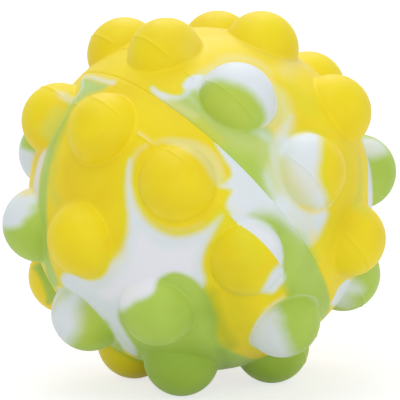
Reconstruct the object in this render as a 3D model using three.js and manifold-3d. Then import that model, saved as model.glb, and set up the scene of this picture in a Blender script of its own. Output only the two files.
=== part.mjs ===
// Pop-bubble stress ball of marbled silicone.
// Two identical moulded half-shells are glued rim to rim. Each carries one bubble at its pole,
// a middle ring and an equator row of bubbles, and every bubble pops inwards on a thin bending ring.
// Millimetres, +Z up, origin at the ball's centre. The ball stands on four bubbles.

import * as THREE from 'three';
import { mergeVertices } from 'three/addons/utils/BufferGeometryUtils.js';
import Module from 'manifold-3d';

// One half-shell
const SHELL_RADIUS = 29.7; // outside of the ball between the bubbles
const SHELL_WALL = 2.4;
const GLUE_LINE = 0.3; // between the two halves, at the equator
const FLANGE_WIDTH = 1.5; // inward rim that carries the glue
const FLANGE_HEIGHT = 1.3;

// One bubble
const BUBBLE_RADIUS = 6.5; // outside of the dome
const BUBBLE_RISE = 5.1; // crown of the dome above the ball's surface
const BUBBLE_WALL = 1.2;
const HINGE_GAP = 0.3; // slit in the place of the thin bending ring round the dome
const HINGE_HEIGHT = 0.9; // of the dome's waist above its root in the ball's surface
const HINGE_DEPTH = 0.1; // reach of the dome's rim below that root
const HINGE_TAPER = 0.45; // how far the rim draws in, so that pressed neighbours pass each other

// Where the bubbles sit on a half, counted from the pole
const MIDDLE_COUNT = 6;
const MIDDLE_COLATITUDE = THREE.MathUtils.degToRad(36);
const EQUATOR_COUNT = 10;
const EQUATOR_COLATITUDE = THREE.MathUtils.degToRad(72);

// How the halves stand
const UPPER_CLOCKING = THREE.MathUtils.degToRad(6); // turn of the upper half against the lower
const TURN = THREE.MathUtils.degToRad(-150); // of the whole ball about the vertical

// Facets
const SHELL_SEGMENTS = 36;
const SHELL_ROWS = 8;
const CAVITY_SEGMENTS = 18;
const CAVITY_ROWS = 4;
const BUBBLE_SEGMENTS = 16;
const DOME_ROWS = 4;
const DOME_INNER_ROWS = 2;

// Colours of the marbled silicone, one main colour for each piece
const YELLOW = 0xe8d228;
const GREEN = 0xaac855;
const WHITE = 0xdcdee8;
const CREAM = 0xe2dc84;
const LOWER_COLOURS = {
  pole: [WHITE],
  middle: [GREEN, GREEN, YELLOW, GREEN, YELLOW, YELLOW],
  equator: [GREEN, GREEN, YELLOW, YELLOW, YELLOW, YELLOW, GREEN, YELLOW, WHITE, GREEN],
};
const UPPER_COLOURS = {
  pole: [YELLOW],
  middle: [WHITE, YELLOW, YELLOW, YELLOW, YELLOW, GREEN],
  equator: [YELLOW, WHITE, GREEN, YELLOW, YELLOW, YELLOW, GREEN, WHITE, YELLOW, GREEN],
};

// Sizes that follow from the ones above, with heights along a bubble's axis from the ball's centre
const INNER_RADIUS = SHELL_RADIUS - SHELL_WALL;
const DOME_CENTRE = SHELL_RADIUS + BUBBLE_RISE - BUBBLE_RADIUS;
const ROOT = Math.sqrt(SHELL_RADIUS ** 2 - BUBBLE_RADIUS ** 2);
const WAIST = ROOT + HINGE_HEIGHT;
const WAIST_RADIUS = Math.sqrt(BUBBLE_RADIUS ** 2 - Math.max(WAIST - DOME_CENTRE, 0) ** 2);
const HOLE_RADIUS = WAIST_RADIUS + HINGE_GAP;

const wasm = await Module();
wasm.setup();

// Points on an arc round a centre on the axis, as radius and height, from one angle off the axis to another
function arc(radius, centre, from, to, rows) {
  const points = [];
  for (let row = 0; row <= rows; row += 1) {
    const angle = from + ((to - from) * row) / rows;
    points.push(new THREE.Vector2(radius * Math.sin(angle), centre + radius * Math.cos(angle)));
  }
  return points;
}

// A lathed geometry about Z; points that should lie on the axis are put exactly there
function lathe(points, segments) {
  const profile = points.map((point) => new THREE.Vector2(Math.abs(point.x) < 1e-9 ? 0 : point.x, point.y));
  return new THREE.LatheGeometry(profile, segments).rotateX(Math.PI / 2);
}

// A closed geometry as a solid: shared vertices are merged and triangles without area are dropped
function solid(geometry) {
  geometry.deleteAttribute('normal');
  geometry.deleteAttribute('uv');
  const merged = mergeVertices(geometry);
  const corners = merged.index.array;
  const triVerts = [];
  for (let first = 0; first < corners.length; first += 3) {
    const [a, b, c] = corners.slice(first, first + 3);
    if (a !== b && b !== c && c !== a) triVerts.push(a, b, c);
  }
  return new wasm.Manifold(
    new wasm.Mesh({
      numProp: 3,
      vertProperties: merged.attributes.position.array,
      triVerts: Uint32Array.from(triVerts),
    }),
  );
}

function geometryOf(body) {
  const mesh = body.getMesh();
  const geometry = new THREE.BufferGeometry();
  geometry.setAttribute('position', new THREE.BufferAttribute(mesh.vertProperties, 3));
  geometry.setIndex(new THREE.BufferAttribute(mesh.triVerts, 1));
  geometry.computeVertexNormals();
  return geometry;
}

// Ring, number, tilt from the pole and turn about it of every bubble on one half
function bubblePlaces() {
  const places = [{ ring: 'pole', number: 1, colatitude: 0, azimuth: 0 }];
  const rings = [
    { ring: 'middle', count: MIDDLE_COUNT, colatitude: MIDDLE_COLATITUDE },
    { ring: 'equator', count: EQUATOR_COUNT, colatitude: EQUATOR_COLATITUDE },
  ];
  for (const { ring, count, colatitude } of rings) {
    for (let number = 1; number <= count; number += 1) {
      places.push({ ring, number, colatitude, azimuth: ((number - 0.5) * 2 * Math.PI) / count });
    }
  }
  return places;
}

function placeMatrix({ colatitude, azimuth }) {
  const turned = new THREE.Matrix4().makeRotationZ(azimuth);
  return turned.multiply(new THREE.Matrix4().makeRotationY(colatitude));
}

// The half's plain wall: a bowl with its pole up and the glue flange inside its rim
function bowl() {
  const rim = GLUE_LINE / 2;
  const flangeTop = rim + FLANGE_HEIGHT;
  const flangeRadius = INNER_RADIUS - FLANGE_WIDTH;
  const outside = arc(SHELL_RADIUS, 0, Math.acos(rim / SHELL_RADIUS), 0, SHELL_ROWS);
  const inside = arc(INNER_RADIUS, 0, Math.acos(flangeTop / INNER_RADIUS), 0, CAVITY_ROWS);
  const mouth = [
    new THREE.Vector2(0, -FLANGE_HEIGHT),
    new THREE.Vector2(flangeRadius, -FLANGE_HEIGHT),
    new THREE.Vector2(flangeRadius, flangeTop),
  ];
  const ballHalf = solid(lathe([new THREE.Vector2(0, rim), ...outside], SHELL_SEGMENTS));
  return ballHalf.subtract(solid(lathe([...mouth, ...inside], CAVITY_SEGMENTS)));
}

// A straight cutter from well inside the wall to well above it
function holeCutter() {
  const bottom = INNER_RADIUS - 2 * SHELL_WALL;
  const top = SHELL_RADIUS + BUBBLE_RISE;
  const cylinder = new THREE.CylinderGeometry(HOLE_RADIUS, HOLE_RADIUS, top - bottom, BUBBLE_SEGMENTS);
  return cylinder.rotateX(Math.PI / 2).translate(0, 0, (top + bottom) / 2);
}

function halfShell() {
  let shell = bowl();
  for (const place of bubblePlaces()) {
    shell = shell.subtract(solid(holeCutter().applyMatrix4(placeMatrix(place))));
  }
  return geometryOf(shell);
}

// A hollow dome, open below, whose rim draws in below its waist
function bubble() {
  const rim = ROOT - HINGE_DEPTH;
  const innerRadius = BUBBLE_RADIUS - BUBBLE_WALL;
  const innerEdge = Math.acos((rim - DOME_CENTRE) / innerRadius);
  const waistEdge = Math.acos((WAIST - DOME_CENTRE) / BUBBLE_RADIUS);
  const inside = arc(innerRadius, DOME_CENTRE, 0, innerEdge, DOME_INNER_ROWS);
  const outside = arc(BUBBLE_RADIUS, DOME_CENTRE, waistEdge, 0, DOME_ROWS);
  const rimEdge = new THREE.Vector2(WAIST_RADIUS - HINGE_TAPER, rim);
  return geometryOf(solid(lathe([...inside, rimEdge, ...outside], BUBBLE_SEGMENTS)));
}

function silicone(color) {
  return new THREE.MeshStandardMaterial({ color, roughness: 0.55, metalness: 0 });
}

function named(name, geometry, color) {
  const mesh = new THREE.Mesh(geometry, silicone(color));
  mesh.name = name;
  return mesh;
}

// One half with its bubbles, pole up
function half(side, colours, shellGeometry, bubbleGeometry) {
  const group = new THREE.Group();
  group.add(named(`${side}_half_shell`, shellGeometry, CREAM));
  for (const place of bubblePlaces()) {
    const { ring, number } = place;
    const shades = colours[ring];
    const suffix = ring === 'pole' ? '' : `_${String(number).padStart(2, '0')}`;
    const mesh = named(`${side}_${ring}_bubble${suffix}`, bubbleGeometry, shades[(number - 1) % shades.length]);
    mesh.applyMatrix4(placeMatrix(place));
    group.add(mesh);
  }
  return group;
}

// Tilt of the lower pole from straight down when two middle and two equator bubbles share the table
function restTilt() {
  const drop = Math.cos(MIDDLE_COLATITUDE) - Math.cos(EQUATOR_COLATITUDE);
  const reach =
    Math.sin(EQUATOR_COLATITUDE) * Math.cos(Math.PI / EQUATOR_COUNT) -
    Math.sin(MIDDLE_COLATITUDE) * Math.cos(Math.PI / MIDDLE_COUNT);
  return Math.atan2(drop, reach);
}

const shellGeometry = halfShell();
const bubbleGeometry = bubble();

const lower = half('lower', LOWER_COLOURS, shellGeometry, bubbleGeometry);
const upper = half('upper', UPPER_COLOURS, shellGeometry, bubbleGeometry);
upper.rotation.set(Math.PI, 0, UPPER_CLOCKING, 'ZYX');

const ball = new THREE.Group();
ball.add(lower, upper);
ball.rotation.set(0, Math.PI - restTilt(), TURN, 'ZYX');

export default ball;
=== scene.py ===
# Looks of the pop-bubble stress ball: two marbled silicone half-shells and their 34 bubbles.
# Every skin is built in millimetres round the ball's centre and scaled to metres at the end.

import math
from collections import namedtuple
from functools import partial

import bpy
import numpy as np
from mathutils import Matrix, Vector, noise
from mathutils.geometry import delaunay_2d_cdt


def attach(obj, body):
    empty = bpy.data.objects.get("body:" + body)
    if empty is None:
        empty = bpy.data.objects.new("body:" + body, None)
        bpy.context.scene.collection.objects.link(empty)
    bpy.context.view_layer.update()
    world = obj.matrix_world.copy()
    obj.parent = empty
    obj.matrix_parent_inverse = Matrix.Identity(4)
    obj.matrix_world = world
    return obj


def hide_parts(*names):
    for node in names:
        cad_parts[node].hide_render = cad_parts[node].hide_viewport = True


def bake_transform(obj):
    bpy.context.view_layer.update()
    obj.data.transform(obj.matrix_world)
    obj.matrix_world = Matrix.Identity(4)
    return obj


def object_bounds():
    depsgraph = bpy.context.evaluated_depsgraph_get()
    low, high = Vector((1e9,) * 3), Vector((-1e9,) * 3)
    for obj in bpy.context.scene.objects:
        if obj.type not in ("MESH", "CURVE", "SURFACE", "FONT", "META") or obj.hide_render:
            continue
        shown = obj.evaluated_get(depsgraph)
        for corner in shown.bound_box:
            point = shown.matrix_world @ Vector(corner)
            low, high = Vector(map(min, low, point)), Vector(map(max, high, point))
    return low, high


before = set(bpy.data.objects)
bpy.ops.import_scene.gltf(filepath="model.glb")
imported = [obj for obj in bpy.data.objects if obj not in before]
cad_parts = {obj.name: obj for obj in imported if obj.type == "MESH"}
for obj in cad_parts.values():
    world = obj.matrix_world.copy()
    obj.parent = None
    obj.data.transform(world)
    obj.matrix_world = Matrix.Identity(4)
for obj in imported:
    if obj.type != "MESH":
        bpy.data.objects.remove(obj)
cad_low, cad_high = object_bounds()

MM = 0.001

# Sizes of the moulding, as in the solids
SHELL_RADIUS = 29.7
INNER_RADIUS = 27.3
BUBBLE_RADIUS = 6.5
BUBBLE_RISE = 5.1
DOME_CENTRE = SHELL_RADIUS + BUBBLE_RISE - BUBBLE_RADIUS
MIDDLE_COUNT = 6
MIDDLE_COLATITUDE = math.radians(36)
EQUATOR_COUNT = 10
EQUATOR_COLATITUDE = math.radians(72)
UPPER_CLOCKING = math.radians(6)
TURN = math.radians(-150)

# Fine forms of the skin
FILLET = 0.6  # radius of the hollow where a dome runs into the ball
DOME_SKIN = 0.4  # thickness of a dome's skin
FLASH_HEIGHT = 6.93  # of the thin moulding line above the equator
FLASH_WIDTH = 0.26  # half width
FLASH_RISE = 0.09
SEAM_WIDTH = 0.3  # half width of the groove along the glue line
SEAM_DEPTH = 0.13

# Fineness of the skins
HOLE_SEGMENTS = 84
RIM_SEGMENTS = 360
SEAM_SHARES = (0.0, 0.15, 0.35, 0.65, 1.0)  # rows of the groove
FILLET_SHARES = (0.0, 0.04, 0.14, 0.3, 0.5, 0.7, 0.86, 0.96, 1.0)  # rows of a hollow
FLASH_SHARES = (-1.0, -0.6, -0.3, 0.0, 0.3, 0.6, 1.0)  # rows across the moulding line
DOME_ROWS = (-0.6, -0.3, 0.0, 0.2, 1.0, 2.0)  # at a dome's foot, in steps, the first ones under the shell
FREE_ROW_GAP = 0.8  # from the last of these rows to the free points, in steps
SKIN_STEP = 0.5  # between free points
POINT_AREA = 0.866 * SKIN_STEP**2  # of a free point in an even net of triangles
ROW_CLEARANCE = 0.3  # of free points from the rows above
MERGE_DISTANCE = 1e-9  # of flat points
HOLE_MARGIN = 1e-7  # of a hole's edge, as a cosine

# Photograph's camera
PHOTO_SIZE = 400
CAMERA_AZIMUTH = math.radians(0.10)
CAMERA_ELEVATION = math.radians(9.32)
CAMERA_ROLL = math.radians(0.92)
CAMERA_DISTANCE = 548.4
FOCAL_PIXELS = 3171.0
BALL_PIXEL = (200.35, 198.99)
SENSOR_WIDTH = 36.0
CLIP_START = 0.01  # metres


def turn_x(angle):
    c, s = math.cos(angle), math.sin(angle)
    return np.array([[1, 0, 0], [0, c, -s], [0, s, c]])


def turn_y(angle):
    c, s = math.cos(angle), math.sin(angle)
    return np.array([[c, 0, s], [0, 1, 0], [-s, 0, c]])


def turn_z(angle):
    c, s = math.cos(angle), math.sin(angle)
    return np.array([[c, -s, 0], [s, c, 0], [0, 0, 1]])


def rest_tilt():
    """Tilt of the lower pole from straight down, with two middle and two equator bubbles on the table."""
    drop = math.cos(MIDDLE_COLATITUDE) - math.cos(EQUATOR_COLATITUDE)
    equator_reach = math.sin(EQUATOR_COLATITUDE) * math.cos(math.pi / EQUATOR_COUNT)
    middle_reach = math.sin(MIDDLE_COLATITUDE) * math.cos(math.pi / MIDDLE_COUNT)
    return math.atan2(drop, equator_reach - middle_reach)


LOWER_FRAME = turn_z(TURN) @ turn_y(math.pi - rest_tilt())
UPPER_FRAME = LOWER_FRAME @ turn_z(UPPER_CLOCKING) @ turn_x(math.pi)
HALF_FRAMES = {"lower": LOWER_FRAME, "upper": UPPER_FRAME}
UP = np.array([0.0, 0.0, 1.0])


def bubble_places():
    """Name ending, ring and turning matrix in the half's own frame, pole up, of every bubble on a half."""
    places = [("pole_bubble", "pole", np.eye(3))]
    rings = (("middle", MIDDLE_COUNT, MIDDLE_COLATITUDE), ("equator", EQUATOR_COUNT, EQUATOR_COLATITUDE))
    for ring, count, colatitude in rings:
        for number in range(1, count + 1):
            azimuth = (number - 0.5) * 2 * math.pi / count
            places.append((f"{ring}_bubble_{number:02d}", ring, turn_z(azimuth) @ turn_y(colatitude)))
    return places


PLACES = bubble_places()


# Meshing of curved sheets


def unit(vectors):
    return vectors / np.linalg.norm(vectors, axis=-1, keepdims=True)


def on_ball(points):
    """Points carried radially to the ball's surface."""
    return unit(points) * SHELL_RADIUS


def cap_directions(radius, rise):
    """Even directions over a cap round +Z, whose height is a share of the sphere's radius."""
    count = int(2 * math.pi * radius**2 * rise / POINT_AREA)
    numbers = np.arange(count)
    golden_turn = math.pi * (3 - math.sqrt(5))
    angle = numbers * golden_turn
    height = 1 - rise * np.sqrt((numbers + 0.5) / count) ** 2
    across = np.sqrt(1 - height**2)
    return np.stack([across * np.cos(angle), across * np.sin(angle), height], axis=1)


def circle_points(radius, height, segments):
    angles = np.arange(segments) * 2 * math.pi / segments
    return np.stack([radius * np.cos(angles), radius * np.sin(angles), np.full(segments, height)], axis=1)


def triangulate(directions, rings):
    """Triangles over directions, laid flat round +Z, with an edge along each closed ring of point numbers."""
    flat = directions[:, :2] / (1 + directions[:, 2:])
    edges = []
    for ring in rings:
        edges += [(ring[k], ring[(k + 1) % len(ring)]) for k in range(len(ring))]
    result = delaunay_2d_cdt([Vector(p) for p in flat], edges, [], 0, MERGE_DISTANCE)
    origin = [numbers[0] for numbers in result[3]]
    return [tuple(origin[corner] for corner in face) for face in result[2]]


def border_edges(faces):
    """Directed edges that only one face uses."""
    used = set()
    for face in faces:
        for k in range(len(face)):
            used.add((face[k], face[(k + 1) % len(face)]))
    return [(a, b) for a, b in used if (b, a) not in used]


def fillet_rows():
    """Radius and height about a bubble's axis, from the ball's surface up to the dome."""
    ball_reach = SHELL_RADIUS + FILLET
    dome_reach = BUBBLE_RADIUS + FILLET
    height = (ball_reach**2 - dome_reach**2 + DOME_CENTRE**2) / (2 * DOME_CENTRE)
    radius = math.sqrt(ball_reach**2 - height**2)
    foot = math.atan2(-height, -radius)
    crest = math.atan2(DOME_CENTRE - height, -radius)
    if crest > 0:
        crest -= 2 * math.pi
    rows = []
    for share in FILLET_SHARES:
        angle = foot + (crest - foot) * share
        rows.append((radius + FILLET * math.cos(angle), height + FILLET * math.sin(angle)))
    return rows


FILLET_PROFILE = fillet_rows()
FOOT_RADIUS, FOOT_HEIGHT = FILLET_PROFILE[0]
CREST_RADIUS, CREST_HEIGHT = FILLET_PROFILE[-1]


def ridge(offset):
    """Height of the moulding line at a distance from its middle."""
    share = np.clip(np.abs(offset) / FLASH_WIDTH, 0, 1)
    return FLASH_RISE * (1 - share**2) ** 2


def shell_sheet():
    """Outer points of one half-shell, pole up, and its triangles."""
    rows = []
    rings = []
    count = 0

    def add(points, is_ring):
        nonlocal count
        rows.append(points)
        if is_ring:
            rings.append(list(range(count, count + len(points))))
        count += len(points)

    # Rounded edge along the glue line
    for share in SEAM_SHARES:
        height = SEAM_WIDTH * share
        radius = math.sqrt(SHELL_RADIUS**2 - height**2) - SEAM_DEPTH * (1 - share) ** 2
        add(circle_points(radius, height, RIM_SEGMENTS), True)

    # Hollow round each bubble, with one more row outside it
    outer_angle = math.atan2(FOOT_RADIUS, FOOT_HEIGHT) + ROW_CLEARANCE / SHELL_RADIUS
    profile = [(SHELL_RADIUS * math.sin(outer_angle), SHELL_RADIUS * math.cos(outer_angle))] + FILLET_PROFILE
    for _, _, place in PLACES:
        for radius, height in profile:
            add(circle_points(radius, height, HOLE_SEGMENTS) @ place.T, True)

    # Moulding line and free points, both kept clear of the bubbles
    axes = np.array([place @ UP for _, _, place in PLACES])
    clear = math.cos(outer_angle + ROW_CLEARANCE / SHELL_RADIUS)

    def free_of_bubbles(directions):
        return (directions @ axes.T).max(axis=1) < clear

    for share in FLASH_SHARES:
        height = FLASH_HEIGHT + share * FLASH_WIDTH
        ring = circle_points(math.sqrt(SHELL_RADIUS**2 - height**2), height, RIM_SEGMENTS)
        directions = ring / SHELL_RADIUS
        ring = directions * (SHELL_RADIUS + ridge(share * FLASH_WIDTH))
        add(ring[free_of_bubbles(directions)], False)

    directions = cap_directions(SHELL_RADIUS, 1)
    keep = free_of_bubbles(directions)
    keep &= np.abs(directions[:, 2] * SHELL_RADIUS - FLASH_HEIGHT) > FLASH_WIDTH + ROW_CLEARANCE
    keep &= directions[:, 2] * SHELL_RADIUS > SEAM_WIDTH + ROW_CLEARANCE
    add(directions[keep] * SHELL_RADIUS, False)

    # Triangles, without those inside the holes
    points = np.concatenate(rows)
    directions = unit(points)
    faces = triangulate(directions, rings)
    hole = math.cos(math.atan2(CREST_RADIUS, CREST_HEIGHT)) + HOLE_MARGIN
    middles = unit(directions[np.array(faces)].mean(axis=1))
    inside_hole = (middles @ axes.T).max(axis=1) > hole
    return points, [face for face, gone in zip(faces, inside_hole) if not gone]


def dome_sheet(with_line):
    """Outer points of one dome about +Z from the ball's centre, and its triangles."""
    edge = math.acos((CREST_HEIGHT - DOME_CENTRE) / BUBBLE_RADIUS)
    step = 2 * math.pi * CREST_RADIUS / HOLE_SEGMENTS
    rows = []
    for row in DOME_ROWS:
        angle = edge - row * step / BUBBLE_RADIUS
        radius = BUBBLE_RADIUS * math.sin(angle)
        rows.append(circle_points(radius, BUBBLE_RADIUS * math.cos(angle), HOLE_SEGMENTS))
    inner_edge = edge - (DOME_ROWS[-1] + FREE_ROW_GAP) * step / BUBBLE_RADIUS
    free = BUBBLE_RADIUS * cap_directions(BUBBLE_RADIUS, 1 - math.cos(inner_edge))

    if with_line:
        pole = turn_y(EQUATOR_COLATITUDE).T @ UP
        side = np.array([0.0, 1.0, 0.0])
        rise = np.cross(pole, side)
        line_offset = FLASH_HEIGHT - DOME_CENTRE * pole[2]
        for share in FLASH_SHARES:
            away = line_offset + share * FLASH_WIDTH
            radius = math.sqrt(BUBBLE_RADIUS**2 - away**2)
            turned = circle_points(radius, 0.0, 2 * HOLE_SEGMENTS)
            curve = away * pole + turned[:, :1] * side + turned[:, 1:2] * rise
            curve *= 1 + ridge(share * FLASH_WIDTH) / BUBBLE_RADIUS
            rows.append(curve[curve[:, 2] > BUBBLE_RADIUS * math.cos(inner_edge)])
        free = free[np.abs(free @ pole - line_offset) > FLASH_WIDTH + ROW_CLEARANCE]

    points = np.concatenate(rows + [free])
    foot_ring = list(range(HOLE_SEGMENTS))
    return points + DOME_CENTRE * UP, triangulate(unit(points), [foot_ring])


# Marbling: streaks of white and green drawn over the yellow of each half, and tints, some of which are
# painted shade and painted highlights

WHITE, GREEN, YELLOW = "white", "green", "yellow"
# bright is painted light: it makes whites brighter where the lamps fall on them
# deep is partly a deeper green of the silicone and partly painted shade on the underside and the low sides
GOLD, LEMON, PAINTED_LIGHT, DEEP_GREEN_AND_SHADE = "gold", "lemon", "bright", "deep"  # tints only
FAR = 1e3  # millimetres, outside every shape
FRONT_SHARE = 0.25  # of the radius, how far in front of the centre a patch reaches
CURVE_STEPS = 4  # between two given points of a curve
FOOT_EDGE = 4.0  # how much sharper a colour ends at its bubble's foot
Marble = namedtuple("Marble", "colour soft depth_at share line_side")

back = np.array(
    [
        math.sin(CAMERA_AZIMUTH) * math.cos(CAMERA_ELEVATION),
        -math.cos(CAMERA_AZIMUTH) * math.cos(CAMERA_ELEVATION),
        math.sin(CAMERA_ELEVATION),
    ]
)
level_right = np.array([math.cos(CAMERA_AZIMUTH), math.sin(CAMERA_AZIMUTH), 0.0])
level_up = np.cross(back, level_right)
camera_x = level_right * math.cos(CAMERA_ROLL) - level_up * math.sin(CAMERA_ROLL)
camera_y = level_right * math.sin(CAMERA_ROLL) + level_up * math.cos(CAMERA_ROLL)
eye = back * CAMERA_DISTANCE
PIXEL = CAMERA_DISTANCE / FOCAL_PIXELS  # millimetres at the ball's centre

DOME_CENTRES = {
    f"{side}_{ending}": half_frame @ place @ UP * DOME_CENTRE
    for side, half_frame in HALF_FRAMES.items()
    for ending, _, place in PLACES
}


def first_hit(start, direction, centre, radius):
    """Distance along a ray to a sphere, or None."""
    to_centre = centre - start
    along = to_centre @ direction
    miss = to_centre @ to_centre - along**2
    if miss > radius**2:
        return None
    return along - math.sqrt(radius**2 - miss)


def seen_at(x, y):
    """Point of the ball that shows at a pixel of the photograph."""
    right = (x - BALL_PIXEL[0]) / FOCAL_PIXELS
    up = (BALL_PIXEL[1] - y) / FOCAL_PIXELS
    direction = -back + right * camera_x + up * camera_y
    direction /= np.linalg.norm(direction)
    hits = [first_hit(eye, direction, np.zeros(3), SHELL_RADIUS)]
    for centre in DOME_CENTRES.values():
        hits.append(first_hit(eye, direction, centre, BUBBLE_RADIUS))
    hits = [hit for hit in hits if hit is not None]
    if hits:
        return eye + min(hits) * direction
    nearest = eye + direction * -(eye @ direction)
    return nearest / np.linalg.norm(nearest) * SHELL_RADIUS


def smooth_curve(points, closed):
    """Points of a smooth curve through the given ones."""
    count = len(points)
    spans = count if closed else count - 1
    shares = np.linspace(0, 1, CURVE_STEPS, endpoint=False)[:, None]
    curve = []
    for span in range(spans):
        numbers = np.arange(span - 1, span + 3)
        numbers = numbers % count if closed else np.clip(numbers, 0, count - 1)
        before, first, second, after = points[numbers]
        curve.append(
            first
            + shares / 2 * (second - before)
            + shares**2 * (before - 2.5 * first + 2 * second - after / 2)
            + shares**3 * (1.5 * (first - second) + (after - before) / 2)
        )
    if not closed:
        curve.append(points[-1:])
    return np.concatenate(curve)


def inside_streak(points, spine, widths):
    """How far points lie inside a streak, negative outside it."""
    deepest = np.full(len(points), -FAR)
    for start, end, start_width, end_width in zip(spine[:-1], spine[1:], widths[:-1], widths[1:]):
        along = end - start
        share = np.clip((points - start) @ along / (along @ along), 0, 1)
        away = np.linalg.norm(points - start - share[:, None] * along, axis=1)
        deepest = np.maximum(deepest, start_width + (end_width - start_width) * share - away)
    return deepest


def inside_patch(points, outline, middle):
    """How far points lie inside a closed outline round a middle direction, negative outside it."""
    across = np.cross(middle, UP)
    across /= np.linalg.norm(across)
    plane = np.stack([across, np.cross(middle, across)], axis=1)
    depth = points @ middle
    in_front = depth > FRONT_SHARE * SHELL_RADIUS
    flat = points[in_front] @ plane / depth[in_front, None] * SHELL_RADIUS
    corners = outline @ plane / (outline @ middle)[:, None] * SHELL_RADIUS
    nearest = np.full(len(flat), FAR)
    inside = np.zeros(len(flat), bool)
    for start, end in zip(corners, np.roll(corners, -1, axis=0)):
        along = end - start
        share = np.clip((flat - start) @ along / (along @ along), 0, 1)
        nearest = np.minimum(nearest, np.linalg.norm(flat - start - share[:, None] * along, axis=1))
        if start[1] != end[1]:
            crossing = start[0] + (flat[:, 1] - start[1]) / (end[1] - start[1]) * (end[0] - start[0])
            spanned = (flat[:, 1] < start[1]) != (flat[:, 1] < end[1])
            inside ^= spanned & (flat[:, 0] < crossing)
    result = np.full(len(points), -FAR)
    result[in_front] = np.where(inside, nearest, -nearest)
    return result


def inside_dome(points, name, margin=0.0):
    """How far points lie inside a bubble's foot, widened by a margin."""
    return FOOT_RADIUS + margin - np.linalg.norm(points - on_ball(DOME_CENTRES[name]), axis=1)


def kept_to(name, depth_at):
    """The same depth, kept to one bubble where a name is given."""
    if name is None:
        return depth_at
    return lambda points: np.minimum(depth_at(points), FOOT_EDGE * inside_dome(points, name))


def streak(colour, *points, soft, share=1.0, line_side=0, only=None):
    """A marbled streak through pixels of the photograph, each point with its half width in pixels.
    soft is half the width of its edge in pixels. A share under 1 only tints what lies below. line_side
    keeps it to the pole's (1) or the equator's (-1) side of the moulding line, and only to one bubble."""
    seen = on_ball(np.array([seen_at(x, y) for x, y, _ in points]))
    widths = np.array([[width * PIXEL] for _, _, width in points])
    curve = smooth_curve(np.concatenate([seen, widths], axis=1), False)
    depth_at = partial(inside_streak, spine=curve[:, :3], widths=curve[:, 3])
    return Marble(colour, soft * PIXEL, kept_to(only, depth_at), share, line_side)


def patch(colour, *corners, soft, share=1.0, line_side=0, only=None):
    """A marbled patch inside a smooth closed outline through pixels of the photograph."""
    seen = np.array([seen_at(x, y) for x, y in corners])
    outline = on_ball(smooth_curve(on_ball(seen), True))
    middle = outline.mean(axis=0)
    middle /= np.linalg.norm(middle)
    depth_at = partial(inside_patch, outline=outline, middle=middle)
    return Marble(colour, soft * PIXEL, kept_to(only, depth_at), share, line_side)


def dome(colour, name, margin, soft, share=1.0):
    """A whole bubble in one colour, with a margin on the ball round it in pixels."""
    return Marble(colour, soft * PIXEL, partial(inside_dome, name=name, margin=margin * PIXEL), share, 0)


# Shapes that two marbles share
PALE_TRIANGLE = (
    (83, 79), (97, 82), (108, 85), (101, 90), (90, 94), (82, 99), (77, 104), (75, 99), (80, 90),
)
OUTER_LEFT_EDGE = ((61, 112, 3), (54, 124, 4), (49, 136, 4))
BESIDE_BAND = ((278, 148, 4), (279, 166, 7), (285, 186, 8))
LOWER_WHITE = ((292, 216, 4), (303, 229, 5))
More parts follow.
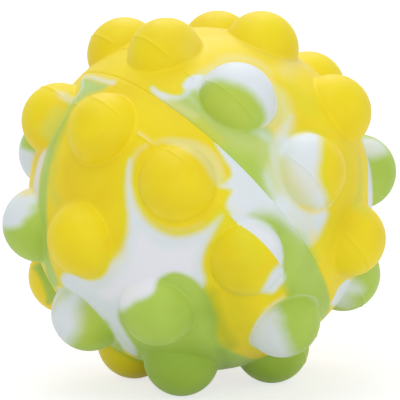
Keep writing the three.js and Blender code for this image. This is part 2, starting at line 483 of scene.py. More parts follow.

# Marbling of each half, shape by shape, in the order that they are laid on, painted shade and painted
# highlights among them
LOWER_MARBLING = {
    "gold at the left": streak(
        GOLD, (66, 165, 6), (72, 195, 10), (92, 205, 12), (104, 195, 8), soft=22, share=0.7,
    ),
    "middle white": patch(
        WHITE, (130.5, 160), (130.5, 180), (134, 200), (140, 213), (150, 226), (166, 234.5), (181, 237),
        (196, 233.5), (211, 225), (222, 215), (216, 228), (207, 243), (202, 262), (205, 284), (188, 292),
        (160, 300), (138, 318), (138, 340), (137, 356), (122, 348), (106, 330), (90, 312), (76, 300),
        (65, 288), (61, 279), (66, 274), (84, 275), (100, 270), (113, 263), (122, 254), (127, 241),
        (129, 228), (128, 212), (126.5, 195), (126.5, 178), (128.5, 163), soft=5,
    ),
    # painted light: the middle of the white made brighter, as lit from the front
    "middle white, painted light": patch(
        PAINTED_LIGHT, (139, 233), (152, 243), (170, 249), (186, 248), (196, 244), (193, 262), (190, 278),
        (170, 287), (146, 294), (128, 303), (112, 301), (98, 292), (114, 282), (128, 268), (135, 250),
        soft=7, share=0.8,
    ),
    "middle white, left edge": streak(
        WHITE, (131, 222, 2), (131, 238, 4), (124, 256, 4), (108, 268, 3), soft=7, share=0.6,
    ),
    "middle white, yellow breath on its tail": streak(
        YELLOW, (84, 275, 3), (100, 272, 4), (112, 265, 4), (122, 254, 3), soft=11, share=0.3,
    ),
    "middle white, thin upper end": streak(
        WHITE, (130, 172, 1), (133, 160, 1.5), (138, 151, 1.5), (146, 145, 1), soft=4, share=0.3,
    ),
    "pale line round the middle dome": streak(
        WHITE, (137, 204, 0.8), (148, 219, 1), (164, 228, 1.2), (184, 230, 1), (203, 223, 0.8), soft=3,
        share=0.22,
    ),
    # painted highlight: the light caught by the raised moulding line
    "painted highlight on the moulding line between two domes": streak(
        WHITE, (133, 129, 0.7), (146, 137.5, 1), (157, 145, 0.7), soft=1.6, share=0.35,
    ),
    "white along the glue line": patch(
        WHITE, (215, 142), (222, 134), (240, 148), (262, 166), (282, 186), (290, 206), (270, 210),
        (254, 214), (243, 222), (235, 218), (227, 209), (227, 201), (232, 192), (225, 188.5), (219, 187),
        (225, 184), (231, 177), (230, 168), (223, 157), soft=3.4,
    ),
    "cream crescent beside the middle dome": patch(
        WHITE, (156, 141), (172, 138), (190, 139.5), (204, 145), (216, 155), (223, 168), (225, 181),
        (218, 187), (211, 177), (205, 166), (196, 157), (184, 150), (170, 145), soft=3, share=0.27,
    ),
    "cream crescent, core": streak(
        WHITE, (176, 142, 1), (192, 146, 2.5), (203, 154, 2.5), (211, 166, 2), (216, 180, 1.5), soft=4,
        share=0.34,
    ),
    "cream crescent, lemon": streak(
        LEMON, (164, 141, 2), (182, 143, 4), (200, 152, 6), (213, 168, 6), (219, 182, 4), soft=5,
        share=0.35,
    ),
    "green band": patch(
        GREEN, (247, 218), (258, 210), (270, 207), (284, 206), (298, 212), (314, 222), (332, 244),
        (346, 272), (348, 300), (334, 326), (316, 326), (300, 312), (287, 299), (283, 286), (280, 272),
        (282, 257), (278, 242), (270, 232), (258, 225), soft=6,
    ),
    "green band, white start": streak(
        WHITE, (258, 212, 2), (270, 208, 6), (284, 212, 7), (297, 226, 6), (306, 237, 3), soft=8,
        share=0.86,
    ),
    "green band, paler edge": streak(
        WHITE, (280, 222, 4), (294, 236, 4), (304, 250, 3), soft=9, share=0.12,
    ),
    "green band, paler middle": streak(WHITE, (300, 255, 8), (312, 282, 8), soft=14, share=0.04),
    "right-hand dome, breath of green": streak(
        DEEP_GREEN_AND_SHADE, (240, 250, 14), (236, 290, 18), (236, 335, 18), soft=12, share=0.1,
    ),
    "right-hand dome, green below it": streak(DEEP_GREEN_AND_SHADE, (240, 285, 8), (234, 325, 18), soft=18, share=0.2),
    "right-hand dome, lemon": streak(
        LEMON, (214, 238, 3), (222, 217, 7), (240, 232, 8), (256, 256, 8), soft=12, share=0.35,
    ),
    "right-hand dome, white past the moulding line": patch(
        WHITE, (226, 218), (246, 240), (262, 256), (276, 274), (283, 264), (282, 246), (275, 231),
        (265, 222), (253, 217), (240, 214), soft=4, line_side=-1,
    ),
    # painted light: the white of the right-hand dome made brighter, as lit from the front
    "right-hand dome, painted light on the white": streak(
        PAINTED_LIGHT, (247, 226, 2), (262, 232, 5), (273, 245, 4), soft=4, share=0.7, line_side=-1,
    ),
    "right-hand dome, white below it": patch(
        WHITE, (281, 266), (273, 272), (266, 284), (262, 293), (271, 293), (279, 286), (284, 276), soft=4,
    ),
    "green round the two lower domes": patch(
        GREEN, (119, 312), (130, 304.5), (142, 299), (151, 294), (154.5, 288), (155, 282), (161, 276),
        (174, 272), (189, 276), (200, 284), (210, 298), (216, 315), (217, 332), (222, 345), (236, 353),
        (256, 359), (274, 366), (254, 386), (215, 390), (180, 388), (150, 378), (138, 366), (136, 350),
        (124, 331), soft=4.5,
    ),
    "green below the tail": patch(
        GREEN, (103, 322), (113, 334), (122, 347), (130, 356), (144, 362), (136, 374), (118, 364),
        (102, 350), soft=4,
    ),
    "green below the tail, fringe": streak(
        GREEN, (107, 321, 3), (116, 332, 3), (126, 345, 3), soft=6, share=0.2,
    ),
    # the deep tint makes the green darker here, towards the bottom
    "darker green beside the yellow": streak(
        DEEP_GREEN_AND_SHADE, (211, 294, 6), (216, 312, 8), (221, 328, 8), (230, 346, 9), soft=11, share=0.5,
    ),
    "green dome at the lower left": dome(GREEN, "lower_middle_bubble_01", margin=0, soft=4),
    "green dome at the bottom": dome(GREEN, "lower_equator_bubble_01", margin=2, soft=4),
    "yellow dome at the bottom": dome(YELLOW, "lower_middle_bubble_06", margin=-2, soft=3),
    "yellow dome at the bottom, shade": dome(
        DEEP_GREEN_AND_SHADE, "lower_middle_bubble_06", margin=0, soft=4, share=0.16,
    ),
    "underside, shade": streak(
        DEEP_GREEN_AND_SHADE, (160, 372, 20), (200, 365, 22), (240, 366, 22), (280, 372, 20), soft=30, share=0.34,
    ),
    "underside, shade between domes": streak(
        DEEP_GREEN_AND_SHADE, (220, 350, 5), (226, 362, 8), (228, 374, 8), soft=10, share=0.6,
    ),
    "lower right dome": dome(WHITE, "lower_equator_bubble_02", margin=-1.5, soft=2.5),
    "lower right dome, green": patch(
        GREEN, (276, 297), (279, 316), (285, 338), (293, 362), (322, 356), (330, 330), (326, 306),
        (312, 292), (296, 290), soft=9, only="lower_equator_bubble_02",
    ),
    "lower right dome, white rim": streak(
        WHITE, (257, 323, 1), (265, 311, 1.5), (275, 302, 1.5), (284, 297, 1), soft=2.5, share=0.6,
    ),
    "left strip, green": patch(
        GREEN, (80, 96), (72, 107), (66, 119), (60, 132), (55, 146), (51, 161), (48, 180), (47, 204),
        (47, 230), (49, 256), (58, 283), (51, 284), (42, 258), (38, 232), (38, 204), (40, 180),
        (43.5, 162), (48, 147), (52.5, 134), (57.5, 122), (64, 111), (72, 100), soft=6,
    ),
    "left strip, green fringe": streak(
        GREEN, (60, 142, 2), (54, 165, 4), (52, 190, 5), (52, 225, 5), (56, 256, 3), soft=9, share=0.35,
    ),
    "left strip, white": patch(
        WHITE, (46.5, 150), (43.5, 160), (40, 175), (38.5, 190), (38.5, 204), (33, 204), (33, 190),
        (35, 175), (38.5, 161), (42, 153), soft=5, share=0.8,
    ),
    "left strip, lower end": streak(GREEN, (56, 290, 2.5), (64, 293, 2), soft=3),
    "left strip, yellow beside it": streak(YELLOW, (30, 165, 2), (31, 190, 3), soft=5, share=0.5),
    "outer left dome": dome(YELLOW, "lower_equator_bubble_06", margin=-2, soft=2),
    "pale triangle, green": patch(GREEN, *PALE_TRIANGLE, soft=5.5),
    "pale triangle, white": patch(WHITE, *PALE_TRIANGLE, soft=7, share=0.14),
    "pale triangle, upper edge": streak(
        WHITE, (84, 76.5, 1.5), (95, 78.5, 2), (105, 81, 2), (114, 82.5, 2.5), soft=3, share=0.75,
    ),
    "pale triangle, left edge": streak(WHITE, (83, 78, 1.5), (82, 88, 2), (74, 99, 2), soft=3, share=0.6),
    "pale triangle, green line": streak(GREEN, (73, 86, 1), (80, 78, 1), (90, 69, 1), soft=2, share=0.5),
    "outer left dome, white spot": streak(
        WHITE, (63, 93, 2), (68, 99, 3), (72, 103, 1.5), soft=4, share=0.55,
    ),
    "outer left dome, lemon edge": streak(LEMON, *OUTER_LEFT_EDGE, soft=6, share=0.6),
    "outer left dome, white edge": streak(WHITE, *OUTER_LEFT_EDGE, soft=6, share=0.1),
    "outer left dome, green edge": streak(
        GREEN, (64, 104, 2), (57, 118, 3), (52, 130, 3), soft=7, share=0.14,
    ),
    "left strip, green upper end": streak(
        GREEN, (74, 106, 2), (67, 119, 4), (62, 132, 5), (57, 146, 5), (53, 160, 4), soft=5, share=0.55,
    ),
    "left strip, white upper end": streak(
        WHITE, (69, 110, 2), (61, 124, 3.5), (54, 138, 4), (49, 152, 4), (45, 168, 3), soft=6, share=0.13,
    ),
    "inner left dome": dome(YELLOW, "lower_equator_bubble_05", margin=1, soft=2),
    "lower left dome": dome(YELLOW, "lower_middle_bubble_03", margin=2, soft=3),
    "far left dome": dome(WHITE, "lower_middle_bubble_04", margin=-2, soft=2),
    "far left dome, green": patch(
        GREEN, (2, 230), (15, 227), (25, 220), (33, 212), (38, 203), (48, 205), (50, 240), (52, 262),
        (44, 278), (18, 278), (0, 256), soft=5, only="lower_middle_bubble_04",
    ),
    "far left dome, yellow above it": streak(YELLOW, (20, 191, 3), (33, 192, 4), soft=4, share=0.5),
    "hidden left dome": dome(WHITE, "lower_equator_bubble_07", margin=-2, soft=2),
    "hidden left dome, green": streak(
        GREEN, (16, 140, 8), (26, 140, 9), soft=4, only="lower_equator_bubble_07",
    ),
    "last left dome": dome(YELLOW, "lower_middle_bubble_05", margin=-2, soft=2),
    "last left dome, green": patch(
        GREEN, (34, 266), (36, 272), (40, 280), (43, 288), (47, 297), (50, 304), (58, 290), (54, 286),
        (50, 282), (46, 274), (42, 266), soft=2.5, only="lower_middle_bubble_05",
    ),
    "pole dome": dome(WHITE, "lower_pole_bubble", margin=-1, soft=3),
    "pole dome, green": patch(
        GREEN, (78, 288), (80, 305), (80, 320), (75, 336), (66, 354), (95, 364), (128, 350), (124, 325),
        (110, 305), (92, 290), soft=9, only="lower_pole_bubble",
    ),
    "pole dome, pale edge": streak(
        WHITE, (80, 295, 4), (92, 302, 4), (102, 313, 3), soft=8, share=0.35, only="lower_pole_bubble",
    ),
    # the deep tint makes the pole dome darker at its lower right
    "pole dome, darker at the lower right": streak(
        DEEP_GREEN_AND_SHADE, (98, 338, 5), (110, 336, 6), soft=8, share=0.25, only="lower_pole_bubble",
    ),
    "pole dome, green rim": streak(
        GREEN, (55, 306, 2), (60, 297, 3), (70, 292, 3), soft=6, share=0.5, only="lower_pole_bubble",
    ),
    "pole dome, lime": streak(
        YELLOW, (88, 316, 6), (92, 338, 8), soft=12, share=0.15, only="lower_pole_bubble",
    ),
    "pole dome, yellow line": streak(
        YELLOW, (53, 318, 1), (54, 306, 1.5), (60, 297, 1.5), soft=2, share=0.4, only="lower_pole_bubble",
    ),
}

UPPER_MARBLING = {
    # painted sheen: the base round the upper pole, at the top of the ball, made paler as lit from above
    "painted sheen round the pole": streak(
        WHITE, (326, 60, 4), (312, 58, 5), (296, 60, 6), (284, 72, 4), soft=18, share=0.25,
    ),
    # painted sheen: the top of the ball, which faces the overhead lamp, made paler
    "painted sheen at the top": streak(
        WHITE, (190, 50, 6), (220, 38, 8), (252, 48, 8), (278, 58, 6), soft=16, share=0.07,
    ),
    "lemon between the domes": streak(
        LEMON, (294, 88, 6), (304, 105, 10), (318, 98, 7), soft=14, share=0.4,
    ),
    "breath of green at the right": streak(
        DEEP_GREEN_AND_SHADE, (344, 142, 6), (350, 170, 7), (346, 202, 7), (328, 246, 8), soft=14, share=0.08,
    ),
    "green edge at the right": streak(
        GREEN, (358, 158, 4), (361, 182, 6), (360, 208, 6), soft=8, share=0.36,
    ),
    "pole dome": dome(YELLOW, "upper_pole_bubble", margin=-2, soft=3),
    "middle dome 4": dome(YELLOW, "upper_middle_bubble_04", margin=-2, soft=3),
    "middle dome 3": dome(YELLOW, "upper_middle_bubble_03", margin=-2, soft=3),
    "middle dome 5": dome(YELLOW, "upper_middle_bubble_05", margin=-2, soft=3),
    "lemon beside the crescent dome": streak(
        LEMON, (280, 90, 3), (284, 106, 7), (285, 124, 8), soft=12, share=0.6,
    ),
    "cream beside the crescent dome": streak(
        WHITE, (280, 92, 1), (284, 106, 4), (285, 122, 6), soft=14, share=0.45,
    ),
    "white along the glue line": patch(
        WHITE, (276, 144), (288, 136), (300, 140), (298, 165), (311, 195), (327, 205), (327, 215),
        (321, 230), (312, 245), (298, 247), (284, 232), (272, 216), (262, 202), (262, 184), (270, 162),
        soft=7,
    ),
    "crescent dome, halo": dome(WHITE, "upper_equator_bubble_07", margin=6, soft=10, share=0.4),
    "crescent dome, halo above it": streak(
        WHITE, (222, 60, 3), (240, 58, 4), (257, 63, 4), (268, 72, 3), soft=12, share=0.3,
    ),
    "green band, white upper end": patch(
        WHITE, (151, 86), (160, 92), (170, 95.5), (180, 96), (185, 91), (183, 85), (190, 77), (203, 75),
        (208, 84), (198, 94), (188, 99), (178, 103), (164, 101), (152, 92), soft=3,
    ),
    "green band": patch(
        GREEN, (163, 102), (176, 100), (187, 95), (196, 90), (210, 98), (224, 106), (240, 110),
        (258, 116), (270, 130), (274, 146), (270, 158), (266, 168), (269, 182), (275, 200), (255, 198),
        (230, 175), (205, 155), (178, 130), (160, 110), soft=6,
    ),
    "green band, paler middle": streak(
        WHITE, (186, 100, 4), (205, 116, 8), (235, 136, 10), (260, 150, 8), soft=10, share=0.14,
    ),
    "green band, pale spot": streak(WHITE, (190, 97, 3), (199, 106, 3), soft=7, share=0.3),
    "green band, pale corner": streak(
        WHITE, (257, 130, 4), (266, 136, 6), (272, 143, 5), soft=9, share=0.6,
    ),
    "green band, pale end": streak(WHITE, (262, 148, 5), (267, 172, 4), soft=12, share=0.25),
    "beside the band, green": streak(GREEN, *BESIDE_BAND, soft=10, share=0.3),
    "beside the band, yellow": streak(YELLOW, *BESIDE_BAND, soft=10, share=0.18),
    "end of the band, green": streak(
        GREEN, (267, 160, 3), (272, 174, 5), (278, 188, 5), soft=8, share=0.36,
    ),
    "end of the band, lemon": streak(
        LEMON, (258, 142, 3), (266, 151, 4), (272, 172, 5), (278, 188, 5), soft=8, share=0.3,
    ),
    "lower white, green": streak(GREEN, *LOWER_WHITE, soft=9, share=0.14),
    "lower white, yellow": streak(YELLOW, *LOWER_WHITE, soft=9, share=0.1),
    "green band, yellow": streak(
        YELLOW, (190, 108, 8), (215, 128, 10), (245, 145, 10), (262, 160, 6), soft=10, share=0.12,
    ),
    "green band, pale start": streak(
        WHITE, (166, 103, 3), (180, 108, 5), (196, 116, 4), soft=8, share=0.36,
    ),
    "green band, yellow start": streak(
        YELLOW, (168, 103, 4), (188, 115, 6), (205, 128, 6), (222, 142, 4), soft=9, share=0.4,
    ),
    "green band, pale tip": streak(WHITE, (265, 174, 2), (270, 185, 4), (277, 198, 6), soft=7, share=0.6),
    "green across the glue line": streak(
        GREEN, (296, 230, 2), (303, 238, 4), (310, 250, 4), (316, 262, 3), soft=7, share=0.6,
    ),
    "lower white, yellow edge": streak(YELLOW, (312, 234, 4), (315, 244, 4), soft=6, share=0.5),
    "lower white, warm middle": streak(YELLOW, (306, 216, 4), (311, 226, 5), soft=9, share=0.14),
    "white above the two-coloured dome": streak(
        WHITE, (290, 116, 2), (286, 127, 5), (280, 137, 6), (274, 148, 5), (274, 158, 3), soft=9,
        share=0.75,
    ),
    "crescent dome": dome(GREEN, "upper_equator_bubble_07", margin=-1, soft=3),
    "crescent dome, lime": streak(
        YELLOW, (215, 100, 12), (240, 108, 14), soft=12, share=0.14, only="upper_equator_bubble_07",
    ),
    "crescent dome, white": patch(
        WHITE, (199, 90), (204, 84), (217, 80), (230, 81.5), (242, 86), (255, 96), (264, 109),
        (266.5, 120), (263, 129), (275, 122), (281, 100), (277, 78), (262, 60), (240, 54), (214, 56),
        (198, 68), (193, 82), soft=6, only="upper_equator_bubble_07",
    ),
    "two-coloured dome": dome(WHITE, "upper_equator_bubble_08", margin=-1, soft=4),
    "two-coloured dome, cream": streak(
        YELLOW, (290, 172, 6), (300, 184, 8), (308, 196, 6), soft=9, share=0.22,
    ),
    "two-coloured dome, lemon rim": streak(
        LEMON, (281, 160, 3), (284, 176, 3.5), (292, 191, 3.5), (302, 203, 3), (312, 208, 2.5), soft=6,
        share=0.55,
    ),
    "two-coloured dome, yellow": patch(
        YELLOW, (321, 120), (320, 138), (320, 152), (318.5, 165), (317.5, 176), (319.5, 185), (324, 193),
        (326, 206), (350, 206), (360, 170), (352, 130), (336, 116), soft=5.5,
        only="upper_equator_bubble_08",
    ),
    "two-coloured dome, lower rim": streak(
        YELLOW, (301, 206, 2), (312, 211, 2.5), (323, 209, 2), soft=3, share=0.6,
    ),
    "two-coloured dome, upper rim": streak(
        YELLOW, (296, 133, 1.5), (312, 132, 2.5), (325, 134, 3), soft=4, share=0.5,
        only="upper_equator_bubble_08",
    ),
    "far right dome, white beside it": patch(
        WHITE, (368, 146), (368, 175), (368, 205), (378, 207), (386, 175), (380, 146), soft=3,
    ),
    "far right dome": dome(GREEN, "upper_middle_bubble_06", margin=-1, soft=2),
    "far right dome, white": streak(
        WHITE, (366, 150, 8), (373, 144, 10), (381, 140, 8), (387, 142, 3), soft=7,
        only="upper_middle_bubble_06",
    ),
    "far right dome, green breath": streak(
        GREEN, (368, 150, 5), (380, 145, 6), soft=8, share=0.18, only="upper_middle_bubble_06",
    ),
    "lower right dome, white beside it": patch(
        WHITE, (348, 279), (342, 284), (337.5, 289), (334.5, 296), (331, 305), (340, 304), (348, 294),
        (355, 284), soft=3,
    ),
    "lower right dome": dome(GREEN, "upper_equator_bubble_10", margin=-1, soft=2),
    "lower right dome, white": patch(
        WHITE, (329, 288), (342, 276), (353, 275), (357, 284), (349, 295), (340, 307), (329, 310), soft=9,
        only="upper_equator_bubble_10",
    ),
}

MARBLING = {"lower": LOWER_MARBLING, "upper": UPPER_MARBLING}

# Edges of the colours
WARP_STEP = 5.0  # size of the waves along the edges
WARP = 0.25  # how far these waves carry a point
WAVE_SEED = 7  # every run draws the same waves
LINE_SOFT = 0.5  # pixels, of an edge along the moulding line
FIELD_LIMIT = 6.0  # of a colour's field, in edge widths
UNDER_WHITE = 1.5  # how far green runs on below the edge of white
SEEN_FROM, SEEN_TO = -0.42, -0.16  # towards the camera, where the seen marbling takes over from the hidden

noise.seed_set(WAVE_SEED)


def smooth(field):
    """Cover of a colour where its edge runs from -1 to 1."""
    share = np.clip((field + 1) / 2, 0, 1)
    return share**2 * (3 - 2 * share)


def painted(points, pole, marbles):
    """Values of the marbling at points: white and green fields, which are above 1 at the full colour and
    below -1 outside it, and the shares of the tints."""
    waves = np.array([noise.noise_vector(Vector(p / WARP_STEP)) for p in points])
    warped = on_ball(points + WARP * waves)
    line = points @ pole - FLASH_HEIGHT
    fields = {WHITE: np.full(len(points), -FIELD_LIMIT), GREEN: np.full(len(points), -FIELD_LIMIT)}
    tints = {name: np.zeros(len(points)) for name in TINT_TONES}
    for colour, soft, depth_at, share, line_side in marbles:
        depth = depth_at(warped) / soft
        if line_side:
            depth = np.minimum(depth, line_side * line / (LINE_SOFT * PIXEL))
        if share < 1:
            tints[colour] = np.maximum(tints[colour], share * smooth(depth))
            continue
        if colour == WHITE:
            fields[WHITE] = np.maximum(fields[WHITE], depth)
        elif colour == GREEN:
            fields[GREEN] = np.maximum(fields[GREEN], depth + UNDER_WHITE * smooth(fields[WHITE]))
            fields[WHITE] = np.minimum(fields[WHITE], -depth)
        else:
            fields = {name: np.minimum(field, -depth) for name, field in fields.items()}
        for name in tints:
            tints[name] = tints[name] * (1 - smooth(depth))
    made = {name: np.clip(field, -FIELD_LIMIT, FIELD_LIMIT) for name, field in fields.items()}
    made.update({f"{name}_tint": tint for name, tint in tints.items()})
    return made


def marbling(points, pole, marbles):
    """Values of the marbling all round. The side that the photograph hides repeats the seen one, turned
    by half a turn about the pole, where bubbles fall on bubbles."""
    towards = on_ball(points) @ back / SHELL_RADIUS
    share = smooth(2 * (towards - SEEN_FROM) / (SEEN_TO - SEEN_FROM) - 1)
    seen = painted(points, pole, marbles)
    turned = 2 * np.outer(points @ pole, pole) - points
    hidden = painted(turned, pole, marbles)
    return {label: share * seen[label] + (1 - share) * hidden[label] for label in seen}


# Materials


def linear(red, green, blue):
    """Colour of a shader socket from screen values of 0 to 255, by the standard screen curve."""
    values = []
    for value in (red, green, blue):
        share = value / 255
        values.append(share / 12.92 if share <= 0.04045 else ((share + 0.055) / 1.055) ** 2.4)
    return (*values, 1.0)


YELLOW_TONES = (linear(248, 226, 12), linear(244, 218, 8))
GREEN_TONES = (linear(184, 213, 90), linear(173, 204, 76))
WHITE_TONES = (linear(231, 239, 245), linear(227, 236, 241))
LEMON_TONE = linear(222, 226, 30)  # yellow thinned by the white beside it
LEMON_SHARE = 0.45
LEMON_REACH = 2.5  # in edge widths of the white
TINT_TONES = {  # in the order that the tints are laid on
    GOLD: linear(240, 206, 0),
    LEMON: LEMON_TONE,
    WHITE: WHITE_TONES[0],
    # painted light, laid on the whites
    PAINTED_LIGHT: linear(242, 242, 251),
    GREEN: GREEN_TONES[0],
    YELLOW: YELLOW_TONES[0],
    # deeper green, also laid on as painted shade on the underside
    DEEP_GREEN_AND_SHADE: linear(118, 164, 14),
}

# Noises of the silicone, each at its own place
Grain = namedtuple("Grain", "scale detail offset")
GREEN_EDGE = Grain(0.45, 2, 3.1)
WHITE_EDGE = Grain(0.45, 2, 7.7)
YELLOW_CLOUDS = Grain(0.11, 2, 11.0)
GREEN_CLOUDS = Grain(0.11, 2, 17.0)
WHITE_CLOUDS = Grain(0.11, 2, 23.0)
GLOSS_GRAIN = Grain(0.8, 3, 31.0)
BUMP_GRAIN = Grain(5.0, 2, 41.0)

# Ranges of a value, and the ranges that they are carried to
EDGE_RANGE = (0.25, 0.75, -0.1, 0.1)
COVER_RANGE = (-1, 1, 0, 1)
CLOUD_RANGE = (0.35, 0.65, 0, 1)
LEMON_RANGE = (-LEMON_REACH, 0, 0, LEMON_SHARE)
ROUGHNESS_RANGE = (0.3, 0.7, 0.46, 0.58)

SILICONE_IOR = 1.41
SHEEN_WEIGHT = 0.05
SHEEN_ROUGHNESS = 0.5
BUMP_STRENGTH = 0.12
BUMP_DISTANCE = 0.00004  # metres


def fill(tree, socket, value):
    """Gives a shader socket its constant, or the output of another node."""
    if isinstance(value, bpy.types.NodeSocket):
        tree.links.new(value, socket)
    else:
        socket.default_value = value


def add_node(tree, kind, inputs=None, **settings):
    """A new shader node with its inputs, by name or number, and its settings."""
    made = tree.nodes.new(kind)
    for key, value in settings.items():
        setattr(made, key, value)
    for key, value in (inputs or {}).items():
        fill(tree, made.inputs[key], value)
    return made


def silicone(name):
    """Marbled silicone, coloured by the marbling values of the skin's points, painted shade and painted
    highlights among them.
    """
    material = bpy.data.materials.new(name)
    material.use_nodes = True
    tree = material.node_tree
    node = partial(add_node, tree)
    rest = node("ShaderNodeAttribute", attribute_name="rest").outputs["Vector"]

    def attribute(label):
        return node("ShaderNodeAttribute", attribute_name=label).outputs["Fac"]

    def noise_of(grain):
        shift = (grain.offset, -grain.offset, 2 * grain.offset)
        moved = node("ShaderNodeVectorMath", {0: rest, 1: shift}, operation="ADD")
        inputs = {"Scale": grain.scale, "Detail": grain.detail, "Vector": moved.outputs[0]}
        return node("ShaderNodeTexNoise", inputs).outputs["Fac"]

    def ranged(value, limits, curve="LINEAR"):
        inputs = dict(enumerate((value, *limits)))
        return node("ShaderNodeMapRange", inputs, interpolation_type=curve).outputs[0]

    def mixed(share, first, second):
        made = node("ShaderNodeMix", {"Factor": share}, data_type="RGBA")
        colour_inputs = [socket for socket in made.inputs if socket.type == "RGBA"]
        for socket, value in zip(colour_inputs, (first, second)):
            fill(tree, socket, value)
        return [socket for socket in made.outputs if socket.type == "RGBA"][0]

    def cover(label, grain):
        """Share of a marbling colour, with its edge roughened."""
        rough = ranged(noise_of(grain), EDGE_RANGE)
        edge = node("ShaderNodeMath", {0: attribute(label), 1: rough}, operation="ADD")
        return ranged(edge.outputs[0], COVER_RANGE, "SMOOTHSTEP")

    def clouded(tones, grain):
        return mixed(ranged(noise_of(grain), CLOUD_RANGE), *tones)

    beside_white = ranged(attribute(WHITE), LEMON_RANGE, "SMOOTHSTEP")
    colour = mixed(beside_white, clouded(YELLOW_TONES, YELLOW_CLOUDS), LEMON_TONE)
    colour = mixed(cover(GREEN, GREEN_EDGE), colour, clouded(GREEN_TONES, GREEN_CLOUDS))
    colour = mixed(cover(WHITE, WHITE_EDGE), colour, clouded(WHITE_TONES, WHITE_CLOUDS))
    for label, tone in TINT_TONES.items():
        colour = mixed(attribute(f"{label}_tint"), colour, tone)

    bump_inputs = {"Strength": BUMP_STRENGTH, "Distance": BUMP_DISTANCE, "Height": noise_of(BUMP_GRAIN)}
    shader_inputs = {
        "Base Color": colour,
        "Roughness": ranged(noise_of(GLOSS_GRAIN), ROUGHNESS_RANGE),
        "IOR": SILICONE_IOR,
        "Sheen Weight": SHEEN_WEIGHT,
        "Sheen Roughness": SHEEN_ROUGHNESS,
        "Normal": node("ShaderNodeBump", bump_inputs).outputs["Normal"],
    }
    shader = tree.nodes["Principled BSDF"]
    for key, value in shader_inputs.items():
        fill(tree, shader.inputs[key], value)
    return material


MARBLED_SLOT = "silicone_marbled"
YELLOW_SLOT = "silicone_yellow"
GREEN_SLOT = "silicone_green"
WHITE_SLOT = "silicone_white"
MATERIALS = {name: silicone(name) for name in (MARBLED_SLOT, YELLOW_SLOT, GREEN_SLOT, WHITE_SLOT)}


# Pieces


def placed(name, data):
    """A new object in the scene."""
    thing = bpy.data.objects.new(name, data)
    bpy.context.scene.collection.objects.link(thing)
    return thing


def skin_piece(name, outer, inner, sheet_faces, fields, slot_name):
    """A closed skin with its marbling, between a sheet's outer and inner points; its borders stay sharp."""
    count = len(outer)
    inner_faces = [tuple(corner + count for corner in reversed(face)) for face in sheet_faces]
    walls = [(b, a, a + count, b + count) for a, b in sorted(border_edges(sheet_faces))]
    points = np.concatenate([outer, inner])
    mesh = bpy.data.meshes.new(name)
    mesh.from_pydata((points * MM).tolist(), [], sheet_faces + inner_faces + walls)
    for polygon in mesh.polygons:
        polygon.use_smooth = True
    for label, values in fields.items():
        both_sides = np.concatenate([values, values]).astype(np.float32)
        mesh.attributes.new(label, "FLOAT", "POINT").data.foreach_set("value", both_sides)
    rest = mesh.attributes.new("rest", "FLOAT_VECTOR", "POINT")
    rest.data.foreach_set("vector", points.astype(np.float32).ravel())
    sharp = set()
    for b, a, a_inside, b_inside in walls:
        sharp.add(tuple(sorted((a, b))))
        sharp.add(tuple(sorted((a_inside, b_inside))))
    for edge in mesh.edges:
        if tuple(sorted(edge.vertices)) in sharp:
            edge.use_edge_sharp = True
    mesh.update()
    thing = placed(name, mesh)
    mesh.materials.append(MATERIALS[slot_name])
    return thing


def main_slot(fields):
    """Slot of the colour that covers the most points."""
    white, green = fields[WHITE], fields[GREEN]
    shares = {WHITE_SLOT: (white > 0).mean(), GREEN_SLOT: ((green > 0) & (white <= 0)).mean()}
    shares[YELLOW_SLOT] = 1 - sum(shares.values())
    return max(shares, key=shares.get)


SHELL_POINTS, SHELL_FACES = shell_sheet()
DOME_SHEETS = {"plain": dome_sheet(False), "line": dome_sheet(True)}

for side, half_frame in HALF_FRAMES.items():
    pole = half_frame[:, 2]
    marbles = MARBLING[side].values()

    outer = SHELL_POINTS @ half_frame.T
    inner = unit(outer) * INNER_RADIUS
    fields = marbling(outer, pole, marbles)
    skin = skin_piece(f"{side}_shell_skin", outer, inner, SHELL_FACES, fields, MARBLED_SLOT)
    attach(skin, "shell")
    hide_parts(f"{side}_half_shell")

    for ending, ring, place in PLACES:
        node_name = f"{side}_{ending}"
        points, faces = DOME_SHEETS["line" if ring == "equator" else "plain"]
        turned = half_frame @ place
        axis = turned @ UP
        outer = points @ turned.T
        centre = axis * DOME_CENTRE
        inner = centre + (outer - centre) * (1 - DOME_SKIN / BUBBLE_RADIUS)
        fields = marbling(outer, pole, marbles)
        skin = skin_piece(f"{node_name}_skin", outer, inner, faces, fields, main_slot(fields))
        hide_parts(node_name)
        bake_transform(skin)


# Floor, light and camera, in metres

FLOOR_HALF = 4.0
FLOOR_CORNERS = ((-1, -1), (1, -1), (1, 1), (-1, 1))
FLOOR_COLOUR = (0.92, 0.92, 0.93, 1)  # to the light
SHOWN_FLOOR_COLOUR = (0.4, 0.4, 0.42, 1)  # to the camera, below the glow
GLOW, FAR_GLOW = 0.7, 0.85  # of the floor, near the ball and far from it
FADE_START, FADE_END = 0.2, 0.9
WHITE_LIGHT = (1, 1, 1, 1)
AMBIENT = 0.51
SHOWN_SKY = 1.0
LAMPS = (  # name, place, diameter and power in watts
    ("overhead", (-0.12, -0.25, 0.75), 0.6, 1.55),
    ("front", (0.1, -0.9, 0.2), 0.4, 0.95),
    ("right", (0.8, -0.4, 0.3), 0.5, 0.65),
    ("back", (0.0, 0.5, 0.7), 0.6, 2.2),
)


def shown_to_camera(tree, plain, shown, output_kind):
    """Ends a tree with one shader for the light, and another for what the camera sees, straight or by a
    reflection."""
    path = add_node(tree, "ShaderNodeLightPath").outputs
    direct = path["Is Camera Ray"]
    for label in ("Is Glossy Ray", "Is Transmission Ray"):
        direct = add_node(tree, "ShaderNodeMath", {0: direct, 1: path[label]}, operation="MAXIMUM").outputs[0]
    pick = add_node(tree, "ShaderNodeMixShader", {0: direct, 1: plain.outputs[0], 2: shown.outputs[0]})
    add_node(tree, output_kind, {"Surface": pick.outputs[0]})


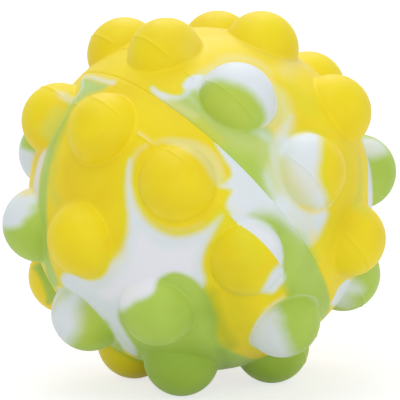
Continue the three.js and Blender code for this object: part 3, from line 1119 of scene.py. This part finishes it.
def floor_material():
    """White floor: pale to the camera, with the ball's shadow, and a plain diffuse surface to other light."""
    material = bpy.data.materials.new("floor")
    material.use_nodes = True
    tree = material.node_tree
    tree.nodes.clear()
    node = partial(add_node, tree)
    place = node("ShaderNodeNewGeometry").outputs["Position"]
    away = node("ShaderNodeVectorMath", {0: place}, operation="LENGTH").outputs["Value"]
    fade_inputs = enumerate((away, FADE_START, FADE_END, GLOW, FAR_GLOW))
    fade = node("ShaderNodeMapRange", dict(fade_inputs))
    glow = node("ShaderNodeEmission", {"Strength": fade.outputs[0]})
    pale = node("ShaderNodeBsdfDiffuse", {"Color": SHOWN_FLOOR_COLOUR})
    shown = node("ShaderNodeAddShader", {0: pale.outputs[0], 1: glow.outputs[0]})
    plain = node("ShaderNodeBsdfDiffuse", {"Color": FLOOR_COLOUR})
    shown_to_camera(tree, plain, shown, "ShaderNodeOutputMaterial")
    return material


floor_level = cad_low[2]
floor_mesh = bpy.data.meshes.new("floor")
floor_points = [(x * FLOOR_HALF, y * FLOOR_HALF, floor_level) for x, y in FLOOR_CORNERS]
floor_mesh.from_pydata(floor_points, [], [(0, 1, 2, 3)])
floor_mesh.materials.append(floor_material())
floor = placed("floor", floor_mesh)

for name, place, size, power in LAMPS:
    lamp_data = bpy.data.lights.new(name, "AREA")
    lamp_data.shape = "DISK"
    lamp_data.size = size
    lamp_data.energy = power
    lamp = placed(name, lamp_data)
    lamp.location = place
    lamp.rotation_euler = (-Vector(place)).to_track_quat("-Z", "Y").to_euler()

world = bpy.data.worlds.new("studio")
world.use_nodes = True
world.node_tree.nodes.clear()
sky = partial(add_node, world.node_tree, "ShaderNodeBackground")
ambient = sky({"Color": WHITE_LIGHT, "Strength": AMBIENT})
shown_sky = sky({"Color": WHITE_LIGHT, "Strength": SHOWN_SKY})
shown_to_camera(world.node_tree, ambient, shown_sky, "ShaderNodeOutputWorld")
bpy.context.scene.world = world

camera_data = bpy.data.cameras.new("camera")
camera_data.sensor_width = SENSOR_WIDTH
camera_data.lens = FOCAL_PIXELS / PHOTO_SIZE * SENSOR_WIDTH
camera_data.shift_x = (PHOTO_SIZE / 2 - BALL_PIXEL[0]) / PHOTO_SIZE
camera_data.shift_y = (BALL_PIXEL[1] - PHOTO_SIZE / 2) / PHOTO_SIZE
camera_data.clip_start = CLIP_START
camera = placed("camera", camera_data)
camera_turn = Matrix(np.stack([camera_x, camera_y, back], axis=1).tolist())
camera.matrix_world = Matrix.Translation(Vector(eye * MM)) @ camera_turn.to_4x4()
bpy.context.scene.camera = camera

bpy.context.scene.view_settings.view_transform = "Standard"
